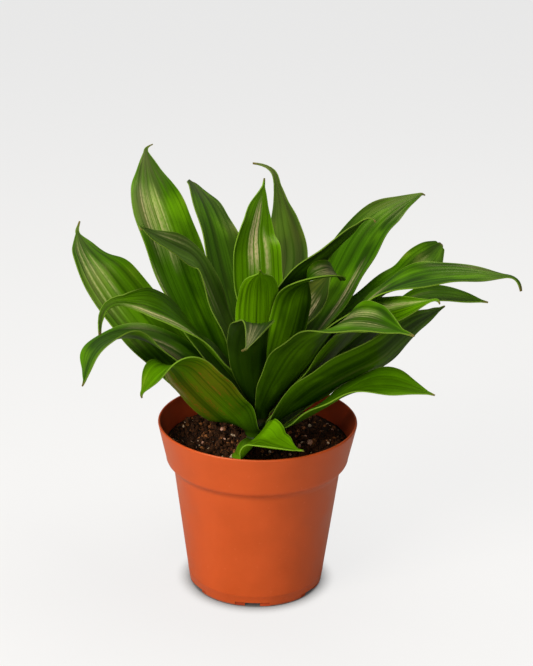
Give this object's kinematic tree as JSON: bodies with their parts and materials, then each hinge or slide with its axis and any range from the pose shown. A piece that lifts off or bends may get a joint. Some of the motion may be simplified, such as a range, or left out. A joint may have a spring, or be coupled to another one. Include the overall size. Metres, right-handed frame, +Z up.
{
  "type": "potted dracaena",
  "caption": "Young broad-leaved dracaena: a dense rosette of arching, pointed green leaves on a short cane, in a terracotta-coloured plastic nursery pot with soil.",
  "frame": {"origin": "centre of the pot's underside, on the surface that it stands on", "axes": "+Z up along the pot's axis, -Y towards the picture's viewer, +X to the viewer's right"},
  "size_m": [0.2414, 0.2319, 0.2227],
  "materials": {
    "pot": "satin",
    "soil": "rough",
    "cane": "satin",
    "leaf": "glossy, waxy"
  },
  "bodies": {
    "root": {"pot": "pot", "soil": "soil", "cane": "cane", "leaf_front_short": "leaf", "leaf_back_right_low": "leaf", "leaf_right_low": "leaf", "leaf_back_low": "leaf", "leaf_left_turned": "leaf", "leaf_right_broad": "leaf", "leaf_back_left_low": "leaf", "leaf_back_right_mid": "leaf", "leaf_left_long": "leaf", "leaf_right_striped": "leaf", "leaf_back_mid": "leaf", "leaf_left_outer_drooping": "leaf", "leaf_right_level": "leaf", "leaf_left_tall": "leaf", "leaf_front_right_arched": "leaf", "leaf_right_back": "leaf", "leaf_front_dark": "leaf", "leaf_left_inner_drooping": "leaf", "leaf_right_long": "leaf", "leaf_back_curled": "leaf", "leaf_right_high": "leaf", "leaf_centre_right_folded": "leaf", "leaf_back_left_upright": "leaf", "leaf_front_bright": "leaf", "leaf_centre_glossy": "leaf", "leaf_back_left_inner": "leaf", "leaf_right_crested": "leaf", "leaf_centre_tall": "leaf"}
  },
  "joints": []
}
